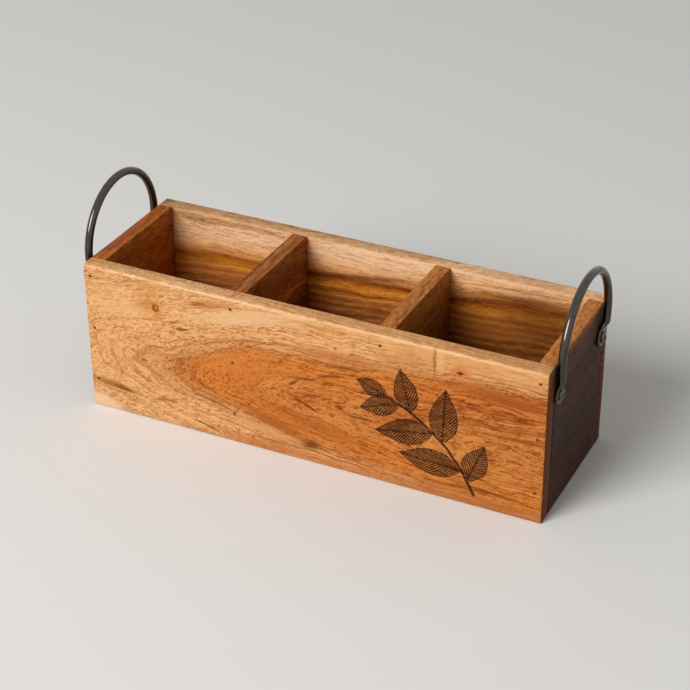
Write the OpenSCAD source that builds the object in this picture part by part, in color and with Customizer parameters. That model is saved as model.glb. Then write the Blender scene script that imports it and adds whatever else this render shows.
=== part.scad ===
// Wooden utensil caddy: an open box with three compartments and a bent-rod handle on each end.
// X runs along the box, Y from the front (-) to the back (+), and Z up from the table.
// The origin is the middle of the base. Sizes are in millimetres.

/* [Box] */
// Outside length of the box, along X
box_len = 300; // [240:5:400]
// Outside width of the box, along Y
box_w = 100; // [92:1:160]
// Height of the box, from base to rim
box_h = 100; // [85:1:160]
// Thickness of the front and back boards
side_t = 10; // [8:0.5:14]
// Thickness of the two end boards
end_t = 10; // [8:0.5:14]
// Radius of the sanded outer edges
edge_r = 1.2; // [0.5:0.1:2.5]
// Width of the eased edge round the mouth of a compartment
mouth_ease = 0.6; // [0.3:0.1:1.5]

/* [Floor] */
// Thickness of the floor panel
floor_t = 6; // [4:0.5:9]
// Height of the floor panel's underside above the table
floor_lift = 4; // [3:0.5:8]
// Depth of the groove that the floor panel slides into
groove_d = 4; // [2:0.5:5]
// Room left at the bottom of the groove for the panel to swell
groove_room = 0.4; // [0.2:0.1:1]

/* [Dividers] */
// Thickness of a divider
divider_t = 10; // [6:0.5:14]

/* [Handles] */
// Diameter of the handle's round bar
bar_d = 5; // [4:0.25:7]
// Distance from the end board's edge to the middle of a handle screw
screw_edge = 5.4; // [4:0.2:10]
// Depth of the loop's centre below the rim
loop_drop = 1.5; // [0:0.5:6]
// Lean of each leg, inwards from upright
leg_lean = 13; // [8:1:18]
// Length of a leg, from the end of the loop's arc to its screw
leg_len = 10.8; // [10:0.2:14]
// Gap between the round bar and the end board
bar_gap = 0.2; // [0.1:0.1:1]
// Diameter of the flattened eye at the foot of a leg
eye_d = 12; // [11:0.5:14]
// Thickness of the flattened eye
eye_t = 2; // [1.5:0.1:3]

/* [Screws] */
// Diameter of a handle screw's shank
screw_d = 3.5; // [3:0.1:4]
// Diameter of its pan head
screw_head_d = 7.2; // [6.5:0.1:8]
// Height of the head's straight side
screw_head_side = 0.7; // [0.4:0.1:1.2]
// Height of the dome on the head
screw_dome_h = 1.5; // [1:0.1:2]
// Wood left in front of the screw's point
tip_cover = 2; // [1:0.5:3]
// Slot width of the cross recess
recess_w = 0.9; // [0.6:0.1:1.2]
// Span of the cross recess
recess_span = 3.8; // [3:0.1:4.5]
// Depth of the cross recess
recess_d = 1.4; // [0.8:0.1:1.8]

/* [Brads] */
// Diameter of a brad's shank
brad_d = 1.2; // [1:0.1:1.6]
// Diameter of a brad's head
brad_head_d = 2; // [1.8:0.1:2.6]
// Thickness of a brad's head
brad_head_t = 0.6; // [0.4:0.1:1]
// Length of a brad, from head to point
brad_len = 25; // [20:1:30]
// Depth of the head below the face of the board
brad_sink = 0.3; // [0.1:0.1:1]
// Height of the lowest brad above the table
brad_low = 20; // [16:1:30]
// Depth of the highest brad below the rim
brad_drop = 7.5; // [5:0.5:15]

/* [Hidden] */
$fn = 64;

// How far a cutting shape reaches past the face that it cuts
past = 1;
// Side gap all round a screw or a brad in its hole
fit_gap = 0.05;
// Gap between a screw's shank and the hole in its eye
eye_gap = 0.35;
// Flat ring of the eye that shows round the screw's head
head_margin = 0.4;
// Length of the point on a screw and on a brad
screw_tip = 3;
brad_tip = 2;
// Thickness of the slices that a pressed leg is lofted between, and the sides of the round one
slice = 0.02;
loft_fn = 32;
// How far a lofted slice stays inside the shape that it runs into, and laps up into the arc
seam = 0.04;
bar_lap = 0.6;

// The room inside the four walls, and where the dividers stand in it
inner_len = box_len - 2 * end_t;
inner_w = box_w - 2 * side_t;
compartment_len = (inner_len - 2 * divider_t) / 3;
divider_x = (compartment_len + divider_t) / 2;
floor_top = floor_lift + floor_t;

// The middle of each board that brads are driven into
end_x = (box_len - end_t) / 2;
brad_heights = [brad_low, (brad_low + box_h - brad_drop) / 2, box_h - brad_drop];

// The handle's screws and its loop, in the plane of the bar: the loop's radius, to the middle
// of the bar, follows from where the two legs have to land
eye_y = inner_w / 2 - screw_edge;
loop_r = (eye_y + leg_len * sin(leg_lean)) / cos(leg_lean);
bar_x = bar_gap + bar_d / 2;
loop_z = box_h - loop_drop;
arc_end_y = loop_r * cos(leg_lean);
arc_end_z = loop_z - loop_r * sin(leg_lean);
eye_z = arc_end_z - leg_len * cos(leg_lean);
// Where the bar has been pressed fully flat, measured along the leg
flat_r = screw_head_d / 2 + head_margin;
flat_at = leg_len - flat_r;
neck_w = 2 * sqrt(pow(eye_d / 2, 2) - pow(flat_r, 2));

// ---- shapes that the pieces share ----

// A rectangle with round corners, centred on the origin
module round_rect(size, r) {
    square([size[0] - 2 * r, size[1]], center = true);
    square([size[0], size[1] - 2 * r], center = true);
    for (x = [-1, 1], y = [-1, 1])
        translate([x * (size[0] / 2 - r), y * (size[1] / 2 - r)]) circle(r = r);
}

// The outside of the finished box, with every outer edge sanded round
module sanded_outline() {
    translate([0, 0, box_h / 2]) intersection() {
        translate([0, 0, -box_h / 2])
            linear_extrude(box_h) round_rect([box_len, box_w], edge_r);
        translate([0, box_w / 2, 0]) rotate([90, 0, 0])
            linear_extrude(box_w) round_rect([box_len, box_h], edge_r);
        translate([-box_len / 2, 0, 0]) rotate([90, 0, 90])
            linear_extrude(box_len) round_rect([box_w, box_h], edge_r);
    }
}

// A square board on the table, given its middle and its size
module board(x, y, size) {
    translate([x - size[0] / 2, y - size[1] / 2, 0]) cube(size);
}

// The floor panel, grown by a gap at its edges
module floor_slab(gap) {
    grown = 2 * (groove_d - groove_room + gap);
    translate([0, 0, floor_lift + floor_t / 2])
        cube([inner_len + grown, inner_w + grown, floor_t], center = true);
}

// What follows is put at the middle of each compartment's mouth
module at_mouths() {
    for (n = [-1, 0, 1]) translate([n * 2 * divider_x, 0, box_h]) children();
}

// The bevels that ease the long boards at the mouths of the compartments
module long_bevels() {
    bevel = mouth_ease * sqrt(2);
    at_mouths() for (y = [-1, 1]) translate([0, y * inner_w / 2, 0]) rotate([45, 0, 0])
        cube([compartment_len, bevel, bevel], center = true);
}

// The bevels that ease the end boards and the dividers there
module cross_bevels() {
    bevel = mouth_ease * sqrt(2);
    at_mouths() for (x = [-1, 1]) translate([x * compartment_len / 2, 0, 0])
        rotate([0, 45, 0]) cube([bevel, inner_w, bevel], center = true);
}

// A brad that points along +Y from the face of the front board, grown by a gap
module brad(gap) {
    shank_r = brad_d / 2 + gap;
    head_r = brad_head_d / 2 + gap;
    shank_end = brad_len - brad_tip;
    translate([0, -box_w / 2, 0]) rotate([-90, 0, 0]) rotate_extrude() polygon([
        [0, gap > 0 ? -past : brad_sink],
        [head_r, gap > 0 ? -past : brad_sink],
        [head_r, brad_sink + brad_head_t + gap],
        [shank_r, brad_sink + brad_head_t + gap],
        [shank_r, brad_sink + shank_end + gap],
        [0, brad_sink + brad_len + gap]
    ]);
}

// The column of brads that pins one cross board to the front board (-1) or the back board (1)
module brad_column(x, y_side, gap = 0) {
    for (z = brad_heights) translate([x, 0, z])
        mirror([0, y_side > 0 ? 1 : 0, 0]) brad(gap);
}

// The holes of every brad in one long board
module brad_holes(y_side) {
    for (x = [-end_x, -divider_x, divider_x, end_x]) brad_column(x, y_side, fit_gap);
}

// What follows is put at the face of the right end board (1) or the left end board (-1)
module at_end(x_side) {
    mirror([x_side > 0 ? 0 : 1, 0, 0]) translate([box_len / 2, 0, 0]) children();
}

// ---- wooden boards ----

// Front board (-1) or back board (1): the full length of the box, grooved for the floor
module long_board(y_side) {
    difference() {
        intersection() {
            board(0, y_side * (box_w - side_t) / 2, [box_len, side_t, box_h]);
            sanded_outline();
        }
        floor_slab(groove_room);
        long_bevels();
        brad_holes(y_side);
    }
}

module front_board() {
    color("#d9a066") long_board(-1);
}

module back_board() {
    color("#cf9a62") long_board(1);
}

// End board, held between the long boards and drilled for its handle
module end_board(x_side) {
    difference() {
        intersection() {
            board(x_side * end_x, 0, [end_t, inner_w, box_h]);
            sanded_outline();
        }
        floor_slab(groove_room);
        cross_bevels();
        for (y_side = [-1, 1]) brad_column(x_side * end_x, y_side, fit_gap);
        at_end(x_side) for (y_side = [-1, 1]) translate([0, y_side * eye_y, eye_z])
            screw_body(fit_gap, past);
    }
}

module left_end_board() {
    color("#9c5a34") end_board(-1);
}

module right_end_board() {
    color("#b9773f") end_board(1);
}

// Floor panel, loose in the grooves of the four walls
module bottom_board() {
    color("#b98a5c") floor_slab(0);
}

// Divider, standing on the floor between the long boards and flush with the rim
module divider(x_side) {
    difference() {
        translate([0, 0, floor_top])
            board(x_side * divider_x, 0, [divider_t, inner_w, box_h - floor_top]);
        cross_bevels();
        for (y_side = [-1, 1]) brad_column(x_side * divider_x, y_side, fit_gap);
    }
}

module left_divider() {
    color("#8a4f2c") divider(-1);
}

module right_divider() {
    color("#b57f4c") divider(1);
}

// ---- handles ----

// One leg, hanging from the end of the arc: the round bar is pressed down to a flat eye
module leg() {
    translate([0, arc_end_y, arc_end_z]) rotate([-leg_lean, 0, 0]) {
        hull() {
            translate([bar_x, 0, bar_lap])
                cylinder(h = slice, d = bar_d - 2 * seam, $fn = loft_fn);
            translate([seam, seam - neck_w / 2, -flat_at])
                cube([eye_t - 2 * seam, neck_w - 2 * seam, slice]);
        }
        translate([0, 0, -leg_len]) rotate([0, 90, 0]) cylinder(h = eye_t, d = eye_d);
    }
}

// A handle on the plane X = 0 that faces +X, with a hole in each eye
module handle() {
    difference() {
        union() {
            translate([bar_x, 0, loop_z]) rotate([90, 0, 90]) rotate([0, 0, -leg_lean])
                rotate_extrude(angle = 180 + 2 * leg_lean)
                    translate([loop_r, 0]) circle(d = bar_d);
            leg();
            mirror([0, 1, 0]) leg();
        }
        for (y_side = [-1, 1]) translate([-past, y_side * eye_y, eye_z])
            rotate([0, 90, 0]) cylinder(h = bar_d + 2 * past, d = screw_d + 2 * eye_gap);
    }
}

module left_handle() {
    color("#a9a59e") at_end(-1) handle();
}

module right_handle() {
    color("#a9a59e") at_end(1) handle();
}

// The shank and point of a screw along -X from the outer face of its eye, grown by a gap
module screw_body(gap, reach = 0) {
    shank_r = screw_d / 2 + gap;
    shank_end = eye_t + end_t - tip_cover - screw_tip;
    translate([eye_t, 0, 0]) rotate([0, -90, 0]) rotate_extrude() polygon([
        [0, -reach],
        [shank_r, -reach],
        [shank_r, shank_end + gap],
        [0, shank_end + screw_tip + gap]
    ]);
}

// The domed pan head of a screw, with its seat at X = 0 and a cross recess in the top
module screw_head() {
    head_r = screw_head_d / 2;
    dome_r = (pow(head_r, 2) + pow(screw_dome_h, 2)) / (2 * screw_dome_h);
    top = screw_head_side + screw_dome_h;
    rotate([0, 90, 0]) difference() {
        rotate_extrude() {
            square([head_r, screw_head_side]);
            intersection() {
                translate([0, top - dome_r]) circle(r = dome_r, $fn = 128);
                translate([0, screw_head_side / 2]) square([head_r, top]);
            }
        }
        for (turn = [0, 90]) rotate([0, 0, turn])
            translate([-recess_span / 2, -recess_w / 2, top - recess_d])
                cube([recess_span, recess_w, recess_d + past]);
    }
}

// One screw, through the eye of a handle and into the end board
module handle_screw(x_side, y_side) {
    color("#8f8b84") at_end(x_side) translate([0, y_side * eye_y, eye_z]) {
        screw_body(0);
        translate([eye_t, 0, 0]) screw_head();
    }
}

// ---- brads ----

module brads(x, y_side) {
    color("#6f6a63") brad_column(x, y_side);
}

front_board();
back_board();
left_end_board();
right_end_board();
bottom_board();
left_divider();
right_divider();
left_handle();
right_handle();
handle_screw(-1, -1);  // left_handle_front_screw
handle_screw(-1, 1);  // left_handle_back_screw
handle_screw(1, -1);  // right_handle_front_screw
handle_screw(1, 1);  // right_handle_back_screw
brads(-end_x, -1);  // left_end_front_brads
brads(-end_x, 1);  // left_end_back_brads
brads(end_x, -1);  // right_end_front_brads
brads(end_x, 1);  // right_end_back_brads
brads(-divider_x, -1);  // left_divider_front_brads
brads(-divider_x, 1);  // left_divider_back_brads
brads(divider_x, -1);  // right_divider_front_brads
brads(divider_x, 1);  // right_divider_back_brads
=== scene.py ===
"""Looks of a wooden utensil caddy with bent-bar handles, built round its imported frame.

Everything is in metres, X along the box, Y from the front to the back, Z up from the table.
Patterns in the materials are given in millimetres.
"""

import math

import bmesh
import bpy
from bpy.props import FloatProperty, FloatVectorProperty, PointerProperty
from mathutils import Matrix, Vector


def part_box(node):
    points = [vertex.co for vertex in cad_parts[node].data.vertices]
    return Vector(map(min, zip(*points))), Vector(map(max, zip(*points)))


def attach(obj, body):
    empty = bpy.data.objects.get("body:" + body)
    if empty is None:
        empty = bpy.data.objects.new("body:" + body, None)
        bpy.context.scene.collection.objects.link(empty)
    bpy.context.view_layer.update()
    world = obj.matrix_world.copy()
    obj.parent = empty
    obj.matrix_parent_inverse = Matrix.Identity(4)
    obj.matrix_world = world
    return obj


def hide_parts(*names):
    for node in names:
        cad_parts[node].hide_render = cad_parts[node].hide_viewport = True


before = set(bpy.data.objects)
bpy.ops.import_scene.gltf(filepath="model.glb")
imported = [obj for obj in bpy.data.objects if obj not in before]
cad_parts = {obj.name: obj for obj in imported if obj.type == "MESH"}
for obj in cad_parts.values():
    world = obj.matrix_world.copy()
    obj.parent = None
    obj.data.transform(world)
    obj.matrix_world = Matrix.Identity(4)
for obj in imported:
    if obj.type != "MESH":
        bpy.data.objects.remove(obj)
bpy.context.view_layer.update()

bl_info = {
    "name": "Wooden Utensil Caddy",
    "version": (1, 0, 0),
    "blender": (4, 5, 0),
    "location": "View3D > Sidebar > Caddy",
    "description": "Builds the boards, handles, screws and stage of a wooden utensil caddy",
    "category": "Object",
}

MM = 0.001
BODY = "root"
SCREW_NODES = [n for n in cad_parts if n.endswith("_screw")]
BRAD_NODES = [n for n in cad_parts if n.endswith("_brads")]

# The outside of the wooden box, from its long boards and its two ends
BOX_LOW = Vector((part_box("left_end_board")[0].x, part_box("front_board")[0].y, 0))
BOX_HIGH = Vector((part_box("right_end_board")[1].x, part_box("back_board")[1].y,
                   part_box("front_board")[1].z))


def paint(code):
    """The linear colour of an sRGB hex value."""
    shares = [int(code[i:i + 2], 16) / 255 for i in (1, 3, 5)]
    return [c / 12.92 if c <= 0.04045 else ((c + 0.055) / 1.055) ** 2.4 for c in shares]


def colour_property(name, description, code):
    """A colour that a user may change, with its default as a hex value."""
    return FloatVectorProperty(
        name=name, description=description, subtype="COLOR", size=3, min=0, max=1,
        default=paint(code))


def length_property(name, description, size):
    """A length that a user may change, with its default in metres."""
    return FloatProperty(
        name=name, description=description, default=size, min=0, subtype="DISTANCE",
        unit="LENGTH", precision=5)


# ---- sizes and colours ----


class CaddyWoodSettings(bpy.types.PropertyGroup):
    """Shape and finish of the wooden boards."""

    edge_radius: length_property(
        "Edge radius", "Radius of the sanded outer edges", 1.2 * MM)
    ease: length_property(
        "Eased edge", "Radius of the edges inside the box and at the joints", 0.4 * MM)
    cell: length_property("Cell", "Size of the cells that a board is cut into", 5 * MM)
    sanding: length_property(
        "Sanding", "Most that hand sanding has taken off a face", 0.35 * MM)
    sanding_wave: length_property(
        "Sanding wave", "Length of one wave in a hand-sanded face", 26 * MM)
    roughness: FloatProperty(
        name="Roughness", description="Roughness of the oiled wood", default=0.5, min=0, max=1)
    burn: colour_property("Burned line", "Colour of wood that a hot pen has burned", "#2E1509")


class CaddyHandleSettings(bpy.types.PropertyGroup):
    """Shape and finish of the two bent-bar handles."""

    bar: length_property("Bar", "Diameter of the round bar", 5 * MM)
    lean: FloatProperty(
        name="Lean", description="Lean of each leg, inwards from upright",
        default=math.radians(13), subtype="ANGLE")
    eye: length_property("Eye", "Diameter of the flattened eye", 12 * MM)
    eye_thickness: length_property("Eye thickness", "Thickness of the flattened eye", 2 * MM)
    hole: length_property("Hole", "Diameter of the hole in an eye", 4.2 * MM)
    press: length_property("Press", "Length of the leg over which the bar is pressed", 6.8 * MM)
    # the dark nickel is partly painted reflection: its tone stands in for dark surroundings
    # mirrored in the plating
    nickel: colour_property("Nickel", "Colour of the aged nickel plating", "#4E4842")
    roughness: FloatProperty(
        name="Roughness", description="Roughness of the plating", default=0.1, min=0, max=1)


class CaddyFastenerSettings(bpy.types.PropertyGroup):
    """Shape and finish of the screws and brads."""

    head_side: length_property(
        "Head side", "Height of the straight side of a screw's head", 0.7 * MM)
    shank: length_property("Shank", "Diameter of a screw's shank", 3.5 * MM)
    thread_root: length_property("Thread root", "Diameter under a screw's thread", 2.6 * MM)
    pitch: length_property("Pitch", "Height of one turn of a screw's thread", 1.2 * MM)
    recess_width: length_property("Recess width", "Width of a cross recess", 0.9 * MM)
    recess_span: length_property("Recess span", "Span of a cross recess", 3.8 * MM)
    recess_depth: length_property("Recess depth", "Depth of a cross recess", 1.4 * MM)
    brad_head: length_property("Brad head", "Diameter of a brad's head", 2 * MM)
    brad_shank: length_property("Brad shank", "Diameter of a brad's shank", 1.2 * MM)
    zinc: colour_property("Screw", "Colour of a screw's plating", "#5F5953")
    steel: colour_property("Brad", "Colour of a brad's darkened steel", "#8C4E22")


class CaddyStageSettings(bpy.types.PropertyGroup):
    """Camera, lights and floor."""

    place: FloatVectorProperty(
        name="Camera place", description="Where the camera stands", subtype="TRANSLATION",
        unit="LENGTH", default=(0.42858, -0.86741, 0.62791))
    azimuth: FloatProperty(
        name="Azimuth", description="Turn of the view round the box, from straight on",
        default=math.radians(26.197), subtype="ANGLE")
    elevation: FloatProperty(
        name="Elevation", description="Height of the camera, as an angle above the horizon",
        default=math.radians(30.673), subtype="ANGLE")
    roll: FloatProperty(
        name="Roll", description="Turn of the camera about its own axis",
        default=math.radians(-0.43), subtype="ANGLE")
    lens: FloatProperty(
        name="Lens", description="Focal length on a 36 mm wide sensor, in millimetres",
        default=96.84)
    floor: colour_property("Floor", "Colour of the plain floor to the eye", "#E9E7E3")
    floor_bounce: colour_property(
        "Floor bounce", "Colour of the floor to the light that it throws back", "#A5A29D")
    key: FloatProperty(
        name="Key", description="Power of the main soft box, in watts", default=86, min=0)
    key_distance: length_property(
        "Key distance", "Distance of the main soft box from the caddy", 3)
    key_size: length_property("Key size", "Diameter of the main soft box", 1.8)
    key_azimuth: FloatProperty(
        name="Key azimuth", description="Turn of the main soft box to the left of the front",
        default=math.radians(22), subtype="ANGLE")
    key_elevation: FloatProperty(
        name="Key elevation", description="Height of the main soft box above the horizon",
        default=math.radians(34), subtype="ANGLE")
    fill: FloatProperty(
        name="Fill", description="Strength of the even light from all round", default=0.3,
        min=0)


# ---- modelling helpers ----


def only(piece):
    """Makes one piece the only selected one, in object mode."""
    if bpy.context.mode != "OBJECT":
        bpy.ops.object.mode_set(mode="OBJECT")
    bpy.ops.object.select_all(action="DESELECT")
    piece.select_set(True)
    bpy.context.view_layer.objects.active = piece
    return piece


def settle(piece, matrix=None):
    """Moves a piece, if a matrix is given, and puts its place into its mesh."""
    only(piece)
    if matrix is not None:
        piece.matrix_world = matrix
    bpy.ops.object.transform_apply(location=True, rotation=True, scale=True)
    return piece


def new_piece(name, primitive, **settings):
    """Adds a primitive by itself, names it, and puts its place into its mesh."""
    if bpy.context.mode != "OBJECT":
        bpy.ops.object.mode_set(mode="OBJECT")
    bpy.ops.object.select_all(action="DESELECT")
    primitive(**settings)
    piece = bpy.context.object
    piece.name = piece.data.name = name
    return settle(piece)


def copied(piece, name, matrix=None):
    """A copy of a piece with its own mesh, moved by a matrix."""
    copy = piece.copy()
    copy.data = piece.data.copy()
    copy.name = copy.data.name = name
    bpy.context.scene.collection.objects.link(copy)
    return settle(copy, matrix)


def edit(piece):
    """Starts to edit a piece, with nothing of it selected."""
    only(piece)
    bpy.ops.object.mode_set(mode="EDIT")
    bpy.ops.mesh.select_all(action="DESELECT")


def pick(piece, kind, test):
    """Selects the vertices, edges or faces of the edited piece that pass a test."""
    bpy.ops.mesh.select_mode(type=kind)
    bpy.ops.mesh.select_all(action="DESELECT")
    mesh = bmesh.from_edit_mesh(piece.data)
    parts = {"VERT": mesh.verts, "EDGE": mesh.edges, "FACE": mesh.faces}[kind]
    found = [part for part in parts if test(part)]
    for part in found:
        part.select_set(True)
    mesh.select_flush_mode()
    bmesh.update_edit_mesh(piece.data)
    return len(found)


def done():
    """Ends the editing of a piece, with all its normals pointing outwards."""
    bpy.ops.mesh.select_all(action="SELECT")
    bpy.ops.mesh.normals_make_consistent(inside=False)
    bpy.ops.object.mode_set(mode="OBJECT")


def apply_modifier(piece, kind, **settings):
    """Adds a modifier to a piece and applies it."""
    only(piece)
    modifier = piece.modifiers.new(kind.lower(), kind)
    for name, value in settings.items():
        setattr(modifier, name, value)
    bpy.ops.object.modifier_apply(modifier=modifier.name)


def joined(shapes, name):
    """Several shapes as one."""
    only(shapes[0])
    for shape in shapes:
        shape.select_set(True)
    if len(shapes) > 1:
        bpy.ops.object.join()
    shapes[0].name = shapes[0].data.name = name
    return shapes[0]


def combine(piece, shapes, operation):
    """Cuts closed shapes out of a piece, or merges them with it, and deletes them."""
    other = joined(shapes, "other")
    apply_modifier(piece, "BOOLEAN", operation=operation, solver="EXACT", object=other,
                   use_self=True)
    bpy.data.objects.remove(other)


def turned(name, profile, sides=32):
    """A solid of revolution about Z, from its lowest ring to its highest, as (radius, height)."""
    radius, height = profile[0]
    piece = new_piece(name, bpy.ops.mesh.primitive_circle_add, vertices=sides, radius=radius,
                      fill_type="NGON", location=(0, 0, height))
    edit(piece)
    bpy.ops.mesh.select_mode(type="FACE")
    bpy.ops.mesh.select_all(action="SELECT")
    for new_radius, new_height in profile[1:]:
        bpy.ops.mesh.extrude_region_move(
            TRANSFORM_OT_translate={"value": (0, 0, new_height - height)})
        scale = new_radius / radius
        bpy.ops.transform.resize(value=(scale, scale, 1), center_override=(0, 0, new_height))
        radius, height = new_radius, new_height
    done()
    return piece


def rod(start, end, radius):
    """A round cutter between two points."""
    line = end - start
    return new_piece(
        "cutter", bpy.ops.mesh.primitive_cylinder_add, vertices=24, radius=radius,
        depth=line.length, location=(start + end) / 2,
        rotation=line.to_track_quat("Z", "Y").to_euler())


def soften(piece, angle=40):
    """Smooth shading, apart from edges sharper than an angle in degrees."""
    only(piece)
    bpy.ops.object.shade_smooth_by_angle(angle=math.radians(angle))


def finish_piece(piece, material, replaced):
    """Gives a finished piece its material and body, and hides the node it stands for."""
    piece.data.materials.clear()
    piece.data.materials.append(material)
    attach(piece, BODY)
    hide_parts(replaced)


# ---- material helpers ----


def node(tree, kind, sockets=None, **settings):
    """Adds one node. Sockets are given by name or number, as a value, a socket or a node."""
    made = tree.nodes.new(kind if kind.startswith("NodeGroup") else "ShaderNode" + kind)
    for name, value in settings.items():
        setattr(made, name, value)
    for key, value in (sockets or {}).items():
        if isinstance(key, int):
            socket = made.inputs[key]
        else:
            socket = next(s for s in made.inputs if s.name == key and s.enabled)
        if isinstance(value, bpy.types.Node):
            value = next(s for s in value.outputs if s.enabled)
        if isinstance(value, bpy.types.NodeSocket):
            tree.links.new(value, socket)
        elif socket.type == "RGBA":
            socket.default_value = (*value[:3], 1)
        else:
            socket.default_value = value
    return made


def new_material(name):
    """An empty node material, its tree, and its place in millimetres."""
    material = bpy.data.materials.new(name)
    material.use_nodes = True
    tree = material.node_tree
    tree.nodes.clear()
    place = node(tree, "VectorMath", {
        "Vector": node(tree, "TexCoord").outputs["Object"], "Scale": 1 / MM},
        operation="SCALE")
    return material, tree, place


def new_group(name, inputs, output, kind):
    """A node group with its sockets, its inputs given as name and kind."""
    group = bpy.data.node_groups.new(name, "ShaderNodeTree")
    for label, of_kind in inputs.items():
        group.interface.new_socket(label, in_out="INPUT", socket_type=f"NodeSocket{of_kind}")
    group.interface.new_socket(output, in_out="OUTPUT", socket_type=f"NodeSocket{kind}")
    return group, node(group, "NodeGroupInput").outputs


def measured_from(tree, place, origin, turn):
    """A place on a board's face, measured from a point and along a turned line."""
    away = node(tree, "VectorMath", {0: place, 1: origin}, operation="SUBTRACT")
    return node(tree, "VectorRotate", {"Vector": away, "Angle": turn}, rotation_type="Y_AXIS")


def strayed(tree, place, base, cell, reach, detail=2):
    """A place that strays by up to half a reach each way, in waves the size of a cell."""
    stretched = node(tree, "VectorMath", {0: base, 1: [1 / c for c in cell]},
                     operation="MULTIPLY")
    waves = node(tree, "TexNoise", {"Vector": stretched, "Scale": 1, "Detail": detail})
    stray = node(tree, "VectorMath", {0: waves.outputs["Color"], 1: [0.5] * 3},
                 operation="SUBTRACT")
    stray = node(tree, "VectorMath", {0: stray, "Scale": reach}, operation="SCALE")
    return node(tree, "VectorMath", {0: place, 1: stray}, operation="ADD")


def board_mark():
    """Group: a soft oval mark on a board's face, such as a knot, smudge, streak or pore."""
    group, given = new_group("board_mark", {
        "Color": "Color", "Place": "Vector", "Middle": "Vector", "Half": "Vector",
        "Turn": "Float", "Bend": "Float", "Soft": "Float", "Strength": "Float",
        "Tint": "Color"}, "Color", "Color")
    turned_place = measured_from(group, given["Place"], given["Middle"], given["Turn"])
    along = node(group, "SeparateXYZ", {"Vector": turned_place}).outputs["X"]
    square = node(group, "Math", {0: along, 1: along}, operation="MULTIPLY")
    sag = node(group, "Math", {0: square, 1: given["Bend"]}, operation="MULTIPLY")
    sag = node(group, "CombineXYZ", {"Z": sag})
    bent = node(group, "VectorMath", {0: turned_place, 1: sag}, operation="ADD")
    scaled = node(group, "VectorMath", {0: bent, 1: given["Half"]}, operation="DIVIDE")
    distance = node(group, "VectorMath", {0: scaled}, operation="LENGTH").outputs["Value"]
    inner = node(group, "Math", {0: 1, 1: given["Soft"]}, operation="SUBTRACT")
    outer = node(group, "Math", {0: 1, 1: given["Soft"]}, operation="ADD")
    mask = node(group, "MapRange", {
        "Value": distance, "From Min": inner, "From Max": outer, "To Min": given["Strength"],
        "To Max": 0}, interpolation_type="SMOOTHSTEP")
    mixed = node(group, "Mix", {"Factor": mask, "A": given["Color"], "B": given["Tint"]},
                 data_type="RGBA")
    node(group, "NodeGroupOutput", {"Color": mixed})


def burned_leaf():
    """Group: a burned leaf, a pointed oval with pale gaps between the lines of its veins."""
    group, given = new_group("burned_leaf", {
        "Place": "Vector", "Base": "Vector", "Turn": "Float", "Length": "Float",
        "Width": "Float", "Burn": "Float"}, "Burn", "Float")
    turned_place = measured_from(group, given["Place"], given["Base"], given["Turn"])
    split = node(group, "SeparateXYZ", {"Vector": turned_place}).outputs
    along = node(group, "Math", {0: split["X"], 1: given["Length"]}, operation="DIVIDE",
                 use_clamp=True)
    side = node(group, "Math", {0: split["Z"]}, operation="ABSOLUTE")
    # widest a little below its middle
    lower = node(group, "Math", {0: along, 1: 0.8}, operation="POWER")
    angle = node(group, "Math", {0: lower, 1: math.pi}, operation="MULTIPLY")
    swell = node(group, "Math", {0: angle}, operation="SINE")
    half = node(group, "Math", {0: swell, 1: given["Width"]}, operation="MULTIPLY")
    inside = node(group, "Math", {0: half, 1: side}, operation="SUBTRACT")
    filled = node(group, "MapRange", {
        "Value": inside, "From Min": -0.1, "From Max": 0.35}, interpolation_type="SMOOTHSTEP")
    rim = node(group, "MapRange", {
        "Value": inside, "From Min": 0.95, "From Max": 0.55}, interpolation_type="SMOOTHSTEP")
    # veins leave the midrib at about 40 degrees, with a pale gap between
    slant = node(group, "Math", {0: side, 1: 1.2}, operation="MULTIPLY")
    run = node(group, "Math", {0: split["X"], 1: slant}, operation="SUBTRACT")
    phase = node(group, "Math", {0: run, 1: 2 * math.pi / VEIN_SPACING}, operation="MULTIPLY")
    wave = node(group, "Math", {0: phase}, operation="SINE")
    line = node(group, "MapRange", {
        "Value": wave, "From Min": 0.4, "From Max": 0.95, "To Min": 1, "To Max": 0.1},
        interpolation_type="SMOOTHSTEP")
    midrib = node(group, "MapRange", {
        "Value": side, "From Min": 0.9, "From Max": 0.5}, interpolation_type="SMOOTHSTEP")
    kept = node(group, "Math", {0: rim, 1: midrib}, operation="MAXIMUM")
    shown = node(group, "Math", {0: line, 1: kept}, operation="MAXIMUM")
    burned = node(group, "Math", {0: filled, 1: shown}, operation="MULTIPLY")
    total = node(group, "Math", {0: burned, 1: given["Burn"]}, operation="MAXIMUM")
    node(group, "NodeGroupOutput", {"Burn": total})


# ---- wood ----

# Distance between two veins of a burned leaf, in mm
VEIN_SPACING = 2.1

# Oil darkens the fine lines, streaks, pores and end grain: their colours are multiplied in. The
# end grain's tint is darker still, as painted shade.
LINE_TINT = "#B07C5A"
STREAK_TINT = "#B8825A"
PORE_TINT = "#94634A"
END_GRAIN_AND_SHADE_TINT = "#6E5040"

# The gloss of the oil is kept low, so that pale surroundings don't veil the dark boards.
OIL_GLOSS = 0.08

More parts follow.
